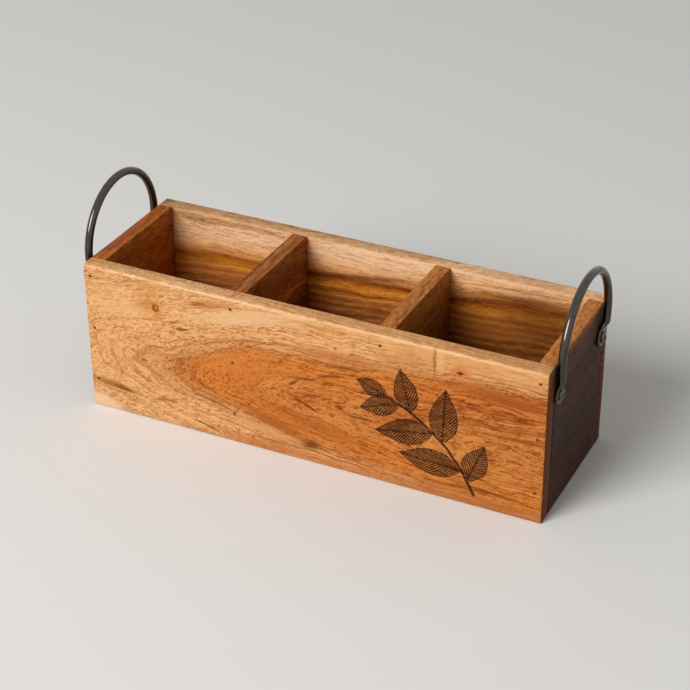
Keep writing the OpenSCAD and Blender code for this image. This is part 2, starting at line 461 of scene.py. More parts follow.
# How each board grew. Along the grain its colour changes little. Across it, it follows the
# growth value, in mm: the dot product of the place, from "middle", with "rise", less "bow" times
# the square of the height from the middle. "wander" is how far the grain strays, "stops" the
# colours by growth value, "dash" the length of a fleck, and "flecks" its size in growth value,
# by height from the middle. "drawn_out" is where on X the figure gets longer, and by what share.
# "grain" is the axis that the grain runs along, "seed" picks the noise, and "ends" is where on X
# the end grain starts. The last row says how strongly each pattern shows.
FRONT_FIGURE = {
    "middle": (0, -50, 43.5), "rise": (1, 7, 0), "bow": 0.075, "grain": "X", "wander": 3.2,
    "seed": 11, "ends": 149.3, "drawn_out": (-20, 0.75),
    "stops": [
        (-400, "#D59B62"), (-230, "#E0A76D"), (-150, "#DFA368"), (-112, "#DB9D63"),
        (-107, "#B97439"), (-102, "#D2965C"), (-92, "#CF8E55"), (-84, "#BC7338"),
        (-76, "#C47A3B"), (-68, "#C87632"), (-45, "#CA7431"), (-31, "#BC6A2B"),
        (-18, "#CA7C3A"), (-6, "#BD6E30"), (5, "#C67A39"), (35, "#BC6E31"),
        (65, "#C77D3F"), (90, "#B86C32"), (120, "#C47B3E"), (150, "#BC7338")],
    "dash": 3.2, "flecks": [(0, 1.3), (8, 2.4), (20, 5)],
    "bands": 0.7, "lines": 0.5, "fibre": 2.9, "ripple": 1, "pores": 0.35,
}
BACK_FIGURE = {
    "middle": (0, 40, 0), "rise": (-0.055, 0.5, 1), "bow": 0, "grain": "X", "wander": 3.5,
    "seed": 23, "ends": 149.3,
    "stops": [
        (-20, "#8A5228"), (10, "#9A5E2C"), (30, "#95541F"), (42, "#AA632A"),
        (46, "#7E4218"), (49, "#B4702F"), (51.5, "#86461A"), (54.5, "#C0783A"),
        (57, "#8A4818"), (59.5, "#C47A36"), (62, "#96501C"), (65, "#D08438"),
        (67, "#9C5218"), (70, "#D68A30"), (74, "#B4681F"), (77.5, "#7E3E12"),
        (81, "#CE8A4A"), (85, "#E6AC72"), (94, "#F0C294"), (99, "#ECBA8C"), (101.5, "#C28E5C"),
        (110, "#BE8A58")],
    "dash": 8, "flecks": [(0, 1.2)],
    "bands": 0.8, "lines": 0.4, "fibre": 1.8, "ripple": 0.4, "pores": 0.3,
}
LEFT_END_FIGURE = {
    "middle": (-145, 0, 50), "rise": (1, 0.04, 0.35), "bow": 0, "grain": "Y", "wander": 2.5,
    "seed": 37,
    "stops": [
        (-25, "#7F3F16"), (-10, "#8E4719"), (0, "#83400F"), (8, "#9E5018"),
        (14, "#B05C1C"), (18, "#9E4E14"), (22, "#B56826"), (25, "#944A16")],
    "dash": 8, "flecks": [(0, 1.3)],
    "bands": 0.7, "lines": 0.6, "fibre": 1.6, "ripple": 0.3, "pores": 0.4,
}
RIGHT_END_FIGURE = {
    "middle": (145, 0, 0), "rise": (-0.9, 0.05, 1), "bow": 0, "grain": "Y", "wander": 2,
    "seed": 41,
    # painted shade: the dark browns low in the stops, on the outer face, are drawn darker than
    # its wood to stand in for shade; the paler stops at the top are the wood's own colour
    "stops": [
        (0, "#44251A"), (30, "#392015"), (60, "#46281C"), (76, "#3D2318"),
        (80, "#4C2D20"), (88, "#5A3926"), (92, "#6A4228"), (96, "#B4733A"),
        (102, "#C27A38"), (110, "#CB8746")],
    "dash": 6, "flecks": [(0, 1.5)],
    "bands": 0.7, "lines": 0.5, "fibre": 1.6, "ripple": 0.3, "pores": 0.5,
}
LEFT_DIVIDER_FIGURE = {
    "middle": (-48.3, 0, 50), "rise": (1, 0.03, 0.25), "bow": 0, "grain": "Y", "wander": 1.6,
    "seed": 53,
    "stops": [
        (-20, "#924C1C"), (-8, "#9A541F"), (0, "#843F14"), (5, "#9A5A22"), (8, "#74380F"),
        (11, "#AE6826"), (14, "#84471A"), (17, "#A66024"), (20, "#84481C")],
    "dash": 10, "flecks": [(0, 1.2)],
    "bands": 0.7, "lines": 0.9, "fibre": 1.7, "ripple": 0.3, "pores": 0.4,
}
RIGHT_DIVIDER_FIGURE = {
    "middle": (48.3, 0, 50), "rise": (0.6, 0.04, 0.8), "bow": 0, "grain": "Y", "wander": 2,
    "seed": 67,
    "stops": [
        (-40, "#703C18"), (-10, "#7E4820"), (15, "#76411A"), (30, "#93581F"),
        (37, "#AE6A2A"), (45, "#B97332")],
    "dash": 5, "flecks": [(0, 1.3)],
    "bands": 0.7, "lines": 0.5, "fibre": 1.7, "ripple": 0.5, "pores": 0.6,
}
FLOOR_FIGURE = {
    "middle": (0, 0, 7), "rise": (0.02, 1, 1.5), "bow": 0, "grain": "X", "wander": 4,
    "seed": 71,
    "stops": [
        (-40, "#9C6534"), (-18, "#B57C44"), (-4, "#A26A36"), (12, "#BC8348"),
        (26, "#9A6231"), (40, "#B37A42")],
    "dash": 5, "flecks": [(0, 1.6)],
    "bands": 0.7, "lines": 0.6, "fibre": 1.6, "ripple": 0.3, "pores": 0.5,
}

# Marks on the front board: middle (X, Z), half size along and across, turn in degrees,
# bend per mm, softness, strength and colour.
FRONT_MARKS = [
    # pale bands and corners
    (-38, 89, 33, 4.6, 13, 0, 0.8, 0.8, "#E7B986"),
    (102, 97, 62, 6.5, -1, 0, 0.9, 0.65, "#DB9D60"),
    (-142, 1, 17, 7, -16, 0, 0.5, 0.85, "#EFC6A0"),
    (-30, 15, 23, 3, -9, 0, 0.7, 0.75, "#D99B62"),
    (-122, 76, 16, 8, 10, 0, 1, 0.5, "#ECB880"),
    (20, 3.5, 42, 3.2, 0, 0, 0.9, 0.55, "#C16E3A"),
    (-30, 4, 30, 4, 0, 0, 0.9, 0.65, "#BE6F38"),
    (108, 2, 56, 5, 0, 0, 0.8, 0.75, "#B4642E"),
    (110, 101, 75, 1.8, 0, 0, 0.8, 0.7, "#B4723A"),
    (0, 101, 55, 1.8, 0, 0, 0.8, 0.5, "#BC7A44"),
    # painted highlight along the rim: a pale line where the light catches the rounded top edge
    (75, 98.7, 80, 0.8, 0, 0, 0.7, 0.7, "#F2CA9A"),
    (-72, 98.9, 76, 0.7, 0, 0, 0.7, 0.6, "#F4D2A6"),
    # orange and brown clouds
    (-44, 56, 13, 9, 20, 0, 1, 0.45, "#D07832"),
    (15, 94.5, 11, 2.6, 7, 0, 0.9, 0.5, "#CF8743"),
    (68, 86, 16, 4.5, 0, 0, 0.9, 0.5, "#B9692F"),
    (126, 76.5, 26, 4, -2, 0, 0.7, 0.8, "#984C1D"),
    (22, 77, 26, 3.4, 3, 0, 0.9, 0.65, "#BA6A30"),
    (104, 80, 14, 4, 4, 0, 0.9, 0.4, "#B9602A"),
    (-20, 21, 22, 3, -14, 0, 0.8, 0.75, "#A0561E"),
    (5, 27, 26, 4, -12, 0, 0.9, 0.6, "#A85A22"),
    # knot with its halo
    (-104.5, 82.5, 9, 6.5, 0, 0, 0.95, 0.6, "#CB7B2F"),
    (-98.5, 77.5, 3, 3.6, -30, 0, 0.6, 0.5, "#C87A33"),
    (-100, 81, 2.4, 2.7, 0, 0, 0.25, 0.9, "#7E3E10"),
    (-99.5, 81.2, 1.2, 1.5, 0, 0, 0.35, 0.8, "#C8823F"),
    # smudges and streaks along the top
    (-102, 96, 8.5, 3.6, 0, 0, 0.8, 0.55, "#C98339"),
    (-101, 97.5, 4.5, 1.3, 0, 0, 0.7, 0.5, "#E3B078"),
    (-63, 92, 15, 2.4, 10, 0, 0.8, 0.6, "#B3642D"),
    (-71, 90.6, 5, 1.1, 15, 0, 0.6, 0.6, "#87471F"),
    (-82, 70.8, 4.7, 0.85, 5, 0, 0.35, 0.9, "#84501A"),
    # thin lines of the lower left
    (-61, 25, 13, 0.6, -15, 0, 0.6, 0.8, "#86481A"),
    (-134, 18.4, 15, 2.4, -6, 0, 0.75, 0.75, "#9C5A21"),
    (-127.5, 17.3, 6.5, 1.3, -8, 0, 0.5, 0.85, "#84440E"),
    (-97.5, 17.5, 3.6, 1.6, 4, 0, 0.8, 0.65, "#8A5826"),
    (-90.4, 17.4, 2.1, 1.2, -10, 0, 0.8, 0.6, "#8A5826"),
    (-68, 6.6, 9.5, 0.7, -14, 0.006, 0.5, 0.8, "#74400F"),
    (-110, 42, 1.8, 0.7, -10, 0, 0.5, 0.8, "#6E3A18"),
    (-20, 8, 18, 0.45, 0, 0, 0.6, 0.7, "#98562A"),
    # broken lines in the heartwood
    (-7.5, 53, 4.3, 0.8, 32, 0, 0.5, 0.85, "#7A3C0C"),
    (2.5, 58.2, 5.6, 0.8, 8, 0, 0.5, 0.85, "#7A3C0C"),
    (16, 63.6, 8.3, 0.8, 11, 0, 0.5, 0.85, "#723A0C"),
    (0.4, 39.8, 9, 0.8, -22, 0, 0.45, 0.9, "#6C3408"),
    (3, 46.6, 11, 0.6, 24, 0, 0.6, 0.65, "#8E4A10"),
    (22.5, 43.8, 2.9, 1.7, 0, 0, 0.5, 0.8, "#84420C"),
    (3.3, 12.5, 5.6, 2.6, 15, 0, 0.7, 0.9, "#7A3A0C"),
    (29, 72, 9, 0.9, 3, 0, 0.7, 0.7, "#7E3E10"),
    (35, 40.3, 9, 0.9, 1, 0, 0.6, 0.85, "#7A3C0E"),
    (20, 83.3, 0.9, 0.8, 0, 0, 0.5, 0.75, "#6A3A1C"),
    # the seam of bark and the orange knot at the top right
    (82, 91, 0.9, 9, 0, 0, 0.7, 0.65, "#8B4D20"),
    (85.6, 92.5, 1.8, 7, 0, 0, 0.8, 0.5, "#EDBB82"),
    (98, 88, 6, 3, 0, 0, 0.9, 0.65, "#C8661A"),
    (97.5, 87, 1.9, 1.1, 0, 0, 0.4, 0.95, "#702C08"),
    # lower right
    (95, 22.8, 8, 1.3, -9, 0, 0.6, 0.85, "#7A3A0C"),
    (108, 20, 13, 0.8, -8, 0, 0.6, 0.8, "#7A3C0C"),
    (122, 12, 24, 0.9, -4, 0, 0.6, 0.75, "#80420E"),
    (100, 11, 24, 1.3, 3, 0, 0.8, 0.65, "#7A3C16"),
    (130, 52, 18, 0.9, 2, 0, 0.8, 0.65, "#864610"),
]
# Marks on the inner face of the back board
BACK_MARKS = [
    (100, 101, 65, 1.8, 0, 0, 0.8, 0.7, "#B67640"),
    # painted highlight along the rim: a pale line where the light catches the rounded top edge
    (0, 98.9, 160, 0.8, 0, 0, 0.7, 0.6, "#F2CA9E"),
    (115, 72, 34, 17, 4, 0, 0.9, 0.75, "#5C2E10"),
    (100, 88, 30, 2.6, 3, 0, 0.8, 0.7, "#6A3614"),
    (72, 85.5, 15, 1.1, 4, 0, 0.8, 0.8, "#B5772C"),
    (-8, 79, 38, 1.7, 8.5, 0, 0.7, 0.75, "#6C3210"),
    (-110, 70.5, 40, 2.2, 0, 0, 0.8, 0.45, "#CC7A1E"),
    # painted light: a pale patch that lightens this face where the left end board casts its
    # shadow
    (-118, 60, 34, 6, 0, 0, 0.9, 0.35, "#C8743A"),
    (75, 64, 26, 6, 0, 0, 0.9, 0.5, "#AC6428"),
]


def growth(tree, place, figure):
    """The growth value of a place, the place by the grain, its height and a shifted place."""
    # each board takes its patterns from another place in the noise
    shift = 31 * figure["seed"]
    shifted = node(tree, "VectorMath", {0: place, 1: [shift] * 3}, operation="ADD")
    # the grain wanders slowly, in waves of about 90 by 30 mm, and trembles in 22 by 7 mm
    moved = place
    for cell, reach in (((90, 40, 30), 3.0), ((22, 12, 7), 0.8)):
        moved = strayed(tree, moved, shifted, cell, reach * figure["wander"])
    away = node(tree, "VectorMath", {0: moved, 1: figure["middle"]}, operation="SUBTRACT")
    rise = node(tree, "VectorMath", {0: away, 1: figure["rise"]},
                operation="DOT_PRODUCT").outputs["Value"]
    split = node(tree, "SeparateXYZ", {"Vector": away}).outputs
    along = split[figure["grain"]]
    if "drawn_out" in figure:
        # past a place on X, the loops and flecks of the figure are drawn out along the board
        start, share = figure["drawn_out"]
        ease = 30
        past = node(tree, "Math", {0: split["X"], 1: start}, operation="SUBTRACT")
        past = node(tree, "Math", {0: past, 1: 0, 2: ease}, operation="SMOOTH_MAX")
        past = node(tree, "Math", {0: past, 1: share}, operation="MULTIPLY")
        rise = node(tree, "Math", {0: rise, 1: past}, operation="SUBTRACT")
        along = node(tree, "Math", {0: along, 1: past}, operation="SUBTRACT")
    square = node(tree, "Math", {0: split["Z"], 1: split["Z"]}, operation="MULTIPLY")
    bow = node(tree, "Math", {0: square, 1: figure["bow"]}, operation="MULTIPLY")
    value = node(tree, "Math", {0: rise, 1: bow}, operation="SUBTRACT")
    by_grain = node(tree, "CombineXYZ", {"X": along, "Y": value, "Z": split["Z"]})
    height = node(tree, "Math", {0: split["Z"]}, operation="ABSOLUTE")
    return value, by_grain, height, shifted


def band_colours(tree, value, stops):
    """The colours of the growth bands, by growth value."""
    low, high = stops[0][0], stops[-1][0]
    share = node(tree, "MapRange", {"Value": value, "From Min": low, "From Max": high})
    bands = node(tree, "ValToRGB", {"Fac": share})
    elements = bands.color_ramp.elements
    while len(elements) < len(stops):
        elements.new(1)
    for element, (stop, code) in zip(elements, stops):
        element.position = (stop - low) / (high - low)
        element.color = (*paint(code), 1)
    return bands


def grain_patterns(tree, figure, by_grain, height, shifted):
    """The noises of the grain, by name: bands, lines, streaks, pores, fine, ripple and fibre.

    A cell is a pattern's size in mm: along the grain, across it in growth value, and in height.
    Fibres and pores are drawn wider than real ones, about 1 mm, so that they show.
    """
    wide = figure["flecks"][-1][1]
    # ripple: short dashes slanted across the grain, where the fibres interlock
    slanted = node(tree, "VectorRotate", {"Vector": shifted, "Angle": math.radians(38)},
                   rotation_type="Y_AXIS")
    patterns = {
        "bands": (by_grain, (80, 5 * wide, 60), 2, 0.6),
        "lines": (by_grain, (60, 1.6 * wide, 40), 3, 0.6),
        "streaks": (by_grain, (16, 0.8 * wide, 25), 2, 0.6),
        "pores": (by_grain, (4.2, 0.6 * wide, 1.2), 1, 0.6),
        "fine": (shifted, (2, 3, 0.9) if figure["grain"] == "X" else (0.9, 2, 0.9), 2, 0.6),
        "ripple": (slanted, (3, 6, 1.1), 1, 0.5),
    }
    # the flecks have one noise for each height at which their size changes
    for start, size in figure["flecks"]:
        patterns[start] = (by_grain, (figure["dash"], size, 1.6), 2, 0.65)
    drawn = {}
    for label, (base, cell, detail, roughness) in patterns.items():
        stretched = node(tree, "VectorMath", {0: base, 1: [1 / c for c in cell]},
                         operation="MULTIPLY")
        drawn[label] = node(tree, "TexNoise", {
            "Vector": stretched, "Scale": 1, "Detail": detail, "Roughness": roughness})

    # the fibres are flecks that get larger away from the middle's height
    fibre = drawn[figure["flecks"][0][0]]
    for start, _ in figure["flecks"][1:]:
        outside = node(tree, "MapRange", {
            "Value": height, "From Min": start - 5, "From Max": start + 5})
        fibre = node(tree, "Mix", {"Factor": outside, "A": fibre, "B": drawn[start]})
    drawn["fibre"] = fibre
    return drawn


def shaded_grain(tree, colour, drawn, figure):
    """The bands with their grain in light and dark, and the mask of the pores."""
    weights = {"bands": figure["bands"], "fibre": figure["fibre"],
               "ripple": figure["ripple"], "fine": 0.8}
    middle, least, ease = 0.93, 0.82, 0.15
    tone = middle - sum(weights.values()) / 2
    for label, weight in weights.items():
        tone = node(tree, "Math", {0: drawn[label], 1: weight, 2: tone},
                    operation="MULTIPLY_ADD")
    # the dark flecks stand out more than the pale ones
    tone = node(tree, "Math", {0: tone, 1: least, 2: ease}, operation="SMOOTH_MAX")
    # darker wood is also deeper in colour, so the tone changes the gamma and the brightness
    pale, dark = 0.8, 1.7
    gamma = node(tree, "MapRange", {
        "Value": tone, "From Min": pale, "From Max": dark, "To Min": 0.9, "To Max": 1.38})
    bright = node(tree, "MapRange", {
        "Value": tone, "From Min": pale, "From Max": dark, "To Min": 1.13, "To Max": 0.52})
    colour = node(tree, "Gamma", {"Color": colour, "Gamma": gamma})
    colour = node(tree, "VectorMath", {0: colour, "Scale": bright}, operation="SCALE")

    for label, start, end, most, tint in (
            ("lines", 0.53, 0.69, figure["lines"], LINE_TINT),
            ("streaks", 0.52, 0.68, 0.8 * figure["lines"], STREAK_TINT),
            ("pores", 0.6, 0.72, figure["pores"], PORE_TINT)):
        mask = node(tree, "MapRange", {
            "Value": drawn[label], "From Min": start, "From Max": end, "To Max": most},
            interpolation_type="SMOOTHSTEP")
        colour = node(tree, "Mix", {"Factor": mask, "A": colour, "B": paint(tint)},
                      data_type="RGBA", blend_type="MULTIPLY")
    return colour, mask


def marked(tree, colour, place, shifted, face, marks):
    """The colour of a board with its marks, their edges ragged. Its face is at a place on Y."""
    depth = 7
    ragged = strayed(tree, place, shifted, (5, 3, 1.6), 2.4, 3)
    for x, z, long, high, turn, bend, soft, strength, code in marks:
        colour = node(tree, "Group", {
            "Color": colour, "Place": ragged, "Middle": (x, face, z),
            "Half": (long, depth, high), "Turn": math.radians(turn), "Bend": bend,
            "Soft": soft, "Strength": strength, "Tint": paint(code),
        }, node_tree=bpy.data.node_groups["board_mark"])
    return colour


def with_end_grain(tree, colour, place, start):
    """The colour of a board whose end grain, past a place on X, drinks more oil and is darker,
    and is darker still as painted shade.
    """
    fade, most = 0.4, 0.8
    out = node(tree, "SeparateXYZ", {"Vector": place}).outputs["X"]
    out = node(tree, "Math", {0: out}, operation="ABSOLUTE")
    out = node(tree, "MapRange", {
        "Value": out, "From Min": start, "From Max": start + fade, "To Max": most},
        interpolation_type="SMOOTHSTEP")
    return node(tree, "Mix", {"Factor": out, "A": colour, "B": paint(END_GRAIN_AND_SHADE_TINT)},
                data_type="RGBA", blend_type="MULTIPLY")


def wood(name, figure, marks=(), drawing=None):
    """Oiled mango wood, sawn, planed and sanded by hand.

    It is nearly matt, with soft growth bands, fine darker lines, short pale and dark flecks
    that follow the grain, and open pores that the oil darkens.
    """
    material, tree, place = new_material(name)
    settings = bpy.context.scene.caddy_wood
    value, by_grain, height, shifted = growth(tree, place, figure)
    colour = band_colours(tree, value, figure["stops"])
    drawn = grain_patterns(tree, figure, by_grain, height, shifted)
    colour, pores = shaded_grain(tree, colour, drawn, figure)
    if marks:
        colour = marked(tree, colour, place, shifted, figure["middle"][1], marks)
    if "ends" in figure:
        colour = with_end_grain(tree, colour, place, figure["ends"])

    fibre = drawn["fibre"]
    relief = node(tree, "Math", {0: fibre, 1: 0.5, 2: pores}, operation="MULTIPLY_ADD")
    swing = 0.16
    rough = node(tree, "Math", {0: fibre, 1: swing, 2: settings.roughness - swing / 2},
                 operation="MULTIPLY_ADD")
    if drawing:
        # a hot pen chars the line and leaves it a little lower than the wood
        burn = drawing(tree, place, shifted)
        colour = node(tree, "Mix", {"Factor": burn, "A": colour, "B": list(settings.burn)},
                      data_type="RGBA")
        relief = node(tree, "Math", {0: burn, 1: 2.5, 2: relief}, operation="MULTIPLY_ADD")
    bump = node(tree, "Bump", {"Height": relief, "Strength": 0.4, "Distance": 0.12 * MM},
                invert=True)
    surface = node(tree, "BsdfPrincipled", {
        "Base Color": colour, "Roughness": rough, "IOR": 1.5, "Specular IOR Level": OIL_GLOSS,
        "Normal": bump})
    node(tree, "OutputMaterial", {"Surface": surface})
    return material


def sprig(tree, place, shifted):
    """A burned sprig of pointed leaves on a curved stem, across the right of the front."""
    bend_middle = Vector((20, 0, -30))
    reach = 95.5
    # the hand that draws wavers a little, in waves of about 6 mm
    flat = strayed(tree, place, shifted, (6, 6, 6), 1.6)
    flat = node(tree, "VectorMath", {0: flat, 1: (1, 0, 1)}, operation="MULTIPLY")

    # the stem is an arc about a far middle, cut off at its foot and its tip
    away = node(tree, "VectorMath", {0: flat, 1: bend_middle}, operation="SUBTRACT")
    far = node(tree, "VectorMath", {0: away}, operation="LENGTH").outputs["Value"]
    off = node(tree, "Math", {0: far, 1: reach}, operation="SUBTRACT")
    off = node(tree, "Math", {0: off}, operation="ABSOLUTE")
    burn = node(tree, "MapRange", {
        "Value": off, "From Min": 1.2, "From Max": 0.7}, interpolation_type="SMOOTHSTEP")
    split = node(tree, "SeparateXYZ", {"Vector": flat}).outputs
    for side, start, end in (("Z", 6, 7), ("X", 52, 53)):
        kept = node(tree, "MapRange", {
            "Value": split[side], "From Min": start, "From Max": end},
            interpolation_type="SMOOTHSTEP")
        burn = node(tree, "Math", {0: burn, 1: kept}, operation="MULTIPLY")

    # leaves up the stem: angle round the arc, side, turn from the stem, length and half width
    leaves = [(29, 1, 50, 29, 8), (33, -1, 54, 40, 9.2), (45, 1, 48, 37, 9.2),
              (49.5, -1, 52, 38, 8.8), (60, 1, 46, 29, 7.8), (65, -1, 44, 27, 7),
              (69.5, 0, 0, 22, 6)]
    for angle, side, splay, length, width in leaves:
        angle = math.radians(angle)
        base = bend_middle + reach * Vector((math.cos(angle), 0, math.sin(angle)))
        heading = angle + math.pi / 2 - side * math.radians(splay)
        burn = node(tree, "Group", {
            "Place": flat, "Base": base, "Turn": heading, "Length": length, "Width": width,
            "Burn": burn}, node_tree=bpy.data.node_groups["burned_leaf"])

    # charring is uneven, and only the front face is drawn on
    stretched = node(tree, "VectorMath", {0: shifted, 1: (1 / 2, 1 / 2, 1 / 1.2)},
                     operation="MULTIPLY")
    uneven = node(tree, "TexNoise", {"Vector": stretched, "Scale": 1, "Detail": 2})
    uneven = node(tree, "MapRange", {
        "Value": uneven, "From Min": 0.3, "From Max": 0.65, "To Min": 0.78, "To Max": 1})
    face = FRONT_FIGURE["middle"][1]
    front = node(tree, "MapRange", {
        "Value": node(tree, "SeparateXYZ", {"Vector": place}).outputs["Y"],
        "From Min": face + 2, "From Max": face + 1})
    burn = node(tree, "Math", {0: burn, 1: uneven}, operation="MULTIPLY")
    return node(tree, "Math", {0: burn, 1: front}, operation="MULTIPLY")


# ---- metal ----


def plated(name, colour, roughness, dulled):
    """Steel with a thin metal plating or its own oxide, from drawn wire.

    It reflects as metal does, with a soft mottle in its tone and gloss where it has aged.
    """
    material, tree, place = new_material(name)
    drawn = []
    for cell, detail in ((2.5, 3), (0.5, 2)):
        stretched = node(tree, "VectorMath", {0: place, 1: [1 / cell] * 3},
                         operation="MULTIPLY")
        drawn.append(node(tree, "TexNoise", {
            "Vector": stretched, "Scale": 1, "Detail": detail, "Roughness": 0.6}))
    spots, fine = drawn
    dull = node(tree, "MapRange", {
        "Value": spots, "From Min": 0.38, "From Max": 0.72, "To Max": dulled},
        interpolation_type="SMOOTHSTEP")
    tone = node(tree, "Mix", {
        "Factor": dull, "A": list(colour), "B": [0.45 * c for c in colour]},
        data_type="RGBA")
    rough = node(tree, "Math", {0: dull, 1: 0.35, 2: roughness}, operation="MULTIPLY_ADD")
    bump = node(tree, "Bump", {"Height": fine, "Strength": 0.15, "Distance": 0.02 * MM})
    surface = node(tree, "BsdfPrincipled", {
        "Base Color": tone, "Metallic": 1, "Roughness": rough, "Normal": bump})
    node(tree, "OutputMaterial", {"Surface": surface})
    return material


# ---- boards ----


def outer_planes(edge):
    """How many of the box's outer faces an edge lies in."""
    levels = [(axis, level) for axis in range(3) for level in (BOX_LOW[axis], BOX_HIGH[axis])]
    return sum(all(abs(v.co[axis] - level) < 0.01 * MM for v in edge.verts)
               for axis, level in levels)


def is_corner(edge):
    """Whether an edge is on a board's own corner."""
    return len(edge.link_faces) == 2 and edge.calc_face_angle() > math.radians(60)


def cut_board(name, node_name):
    """A board the size of its node, cut into cells and with its edges rounded."""
    settings = bpy.context.scene.caddy_wood
    low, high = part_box(node_name)
    piece = new_piece(name, bpy.ops.mesh.primitive_cube_add, size=1)
    edit(piece)
    bpy.ops.mesh.select_all(action="SELECT")
    bpy.ops.transform.resize(value=high - low)
    bpy.ops.transform.translate(value=(low + high) / 2)
    for axis in range(3):
        cuts = max(1, round((high - low)[axis] / settings.cell) - 1)
        pick(piece, "EDGE", lambda e: abs((e.verts[0].co - e.verts[1].co)[axis]) > 1e-6)
        bpy.ops.mesh.subdivide(number_cuts=cuts)
    if pick(piece, "EDGE", lambda e: is_corner(e) and outer_planes(e) > 1):
        bpy.ops.mesh.bevel(offset=settings.edge_radius, segments=3, affect="EDGES")
    pick(piece, "EDGE", is_corner)
    bpy.ops.mesh.bevel(offset=settings.ease, segments=2, affect="EDGES")
    done()
    return piece


def sand(piece):
    """Takes a little off the outer faces, unevenly, as hand sanding does."""
    settings = bpy.context.scene.caddy_wood
    near = settings.edge_radius * 1.1
    group = piece.vertex_groups.new(name="outer")
    outer = [v.index for v in piece.data.vertices
             if v.co.z > near and any(abs(v.co[axis] - level[axis]) < near
                                      for axis in range(3) for level in (BOX_LOW, BOX_HIGH))]
    group.add(outer, 1, "ADD")
    cloud = bpy.data.textures.new("sanding", "CLOUDS")
    cloud.noise_scale = settings.sanding_wave
    apply_modifier(piece, "DISPLACE", texture=cloud, texture_coords="LOCAL",
                   direction="NORMAL", mid_level=1, strength=settings.sanding,
                   vertex_group="outer")
    piece.vertex_groups.clear()


def brad_places(node_name):
    """For each brad of a node, where its head lies and where its point ends."""
    low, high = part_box(node_name)
    radius = bpy.context.scene.caddy_fastener.brad_head / 2
    x = (low.x + high.x) / 2
    head, tip = (low.y, high.y) if "_front_" in node_name else (high.y, low.y)
    return [(Vector((x, head, z)), Vector((x, tip, z)))
            for z in (low.z + radius, (low.z + high.z) / 2, high.z - radius)]


def bore(piece, node_name):
    """Drills a board for its brads and screws, and grooves it for the floor."""
    settings = bpy.context.scene.caddy_fastener
    play, sunk, clear = 0.05 * MM, 0.7 * MM, 2 * MM
    shank, head_radius = settings.brad_shank / 2 + play, settings.brad_head / 2 + play
    low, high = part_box(node_name)
    cutters = []
    for name in BRAD_NODES:
        # a column of brads runs through its long board and into an end board or divider
        column_low, column_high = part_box(name)
        if all(column_low[i] < high[i] and column_high[i] > low[i] for i in range(3)):
            for head, tip in brad_places(name):
                inwards = (tip - head).normalized()
                hole = turned("cutter", [
                    (shank, -(tip - head).length - play), (shank, -sunk),
                    (head_radius, -sunk), (head_radius, clear)], 24)
                turn = inwards.to_track_quat("-Z", "Y").to_matrix().to_4x4()
                cutters.append(settle(hole, Matrix.Translation(head) @ turn))
    for name in SCREW_NODES:
        if node_name == name.split("_")[0] + "_end_board":
            screw_low, screw_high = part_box(name)
            middle = (screw_low + screw_high) / 2
            start = Vector((screw_low.x - play, middle.y, middle.z))
            end = Vector((screw_high.x + play, middle.y, middle.z))
            cutters.append(rod(start, end, settings.shank / 2 + play))
    if "divider" not in node_name:
        floor_low, floor_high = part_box("bottom_board")
        room = Vector((0.4, 0.4, 0)) * MM
        cutters.append(new_piece(
            "cutter", bpy.ops.mesh.primitive_cube_add, size=1,
            location=(floor_low + floor_high) / 2, scale=floor_high - floor_low + 2 * room))
    combine(piece, cutters, "DIFFERENCE")


class CADDY_OT_boards(bpy.types.Operator):
    """Build the front, back and end boards and the two dividers"""

    bl_idname = "caddy.boards"
    bl_label = "Boards"
    bl_options = {"REGISTER", "UNDO"}

    def execute(self, context):
        board_mark()
        burned_leaf()
        boards = {
            "front_board": ("front_wood", FRONT_FIGURE, FRONT_MARKS, sprig),
            "back_board": ("back_wood", BACK_FIGURE, BACK_MARKS, None),
            "left_end_board": ("left_end_wood", LEFT_END_FIGURE, (), None),
            "right_end_board": ("right_end_wood", RIGHT_END_FIGURE, (), None),
            "left_divider": ("left_divider_wood", LEFT_DIVIDER_FIGURE, (), None),
            "right_divider": ("right_divider_wood", RIGHT_DIVIDER_FIGURE, (), None),
        }
        for node_name, (slot, figure, marks, drawing) in boards.items():
            name = node_name.replace("_board", "")
            piece = cut_board(name + "_plank", node_name)
            sand(piece)
            bore(piece, node_name)
            soften(piece)
            material = wood("oiled_mango_wood_" + name, figure, marks, drawing)
            finish_piece(piece, material, node_name)
        return {"FINISHED"}


class CADDY_OT_floor(bpy.types.Operator):
    """Build the floor panel that lies in the grooves of the four walls"""

    bl_idname = "caddy.floor"
    bl_label = "Floor panel"
    bl_options = {"REGISTER", "UNDO"}

    def execute(self, context):
        piece = cut_board("floor_panel", "bottom_board")
        soften(piece)
        finish_piece(piece, wood("oiled_mango_wood_floor", FLOOR_FIGURE),
                     "bottom_board")
        return {"FINISHED"}


# ---- handles ----


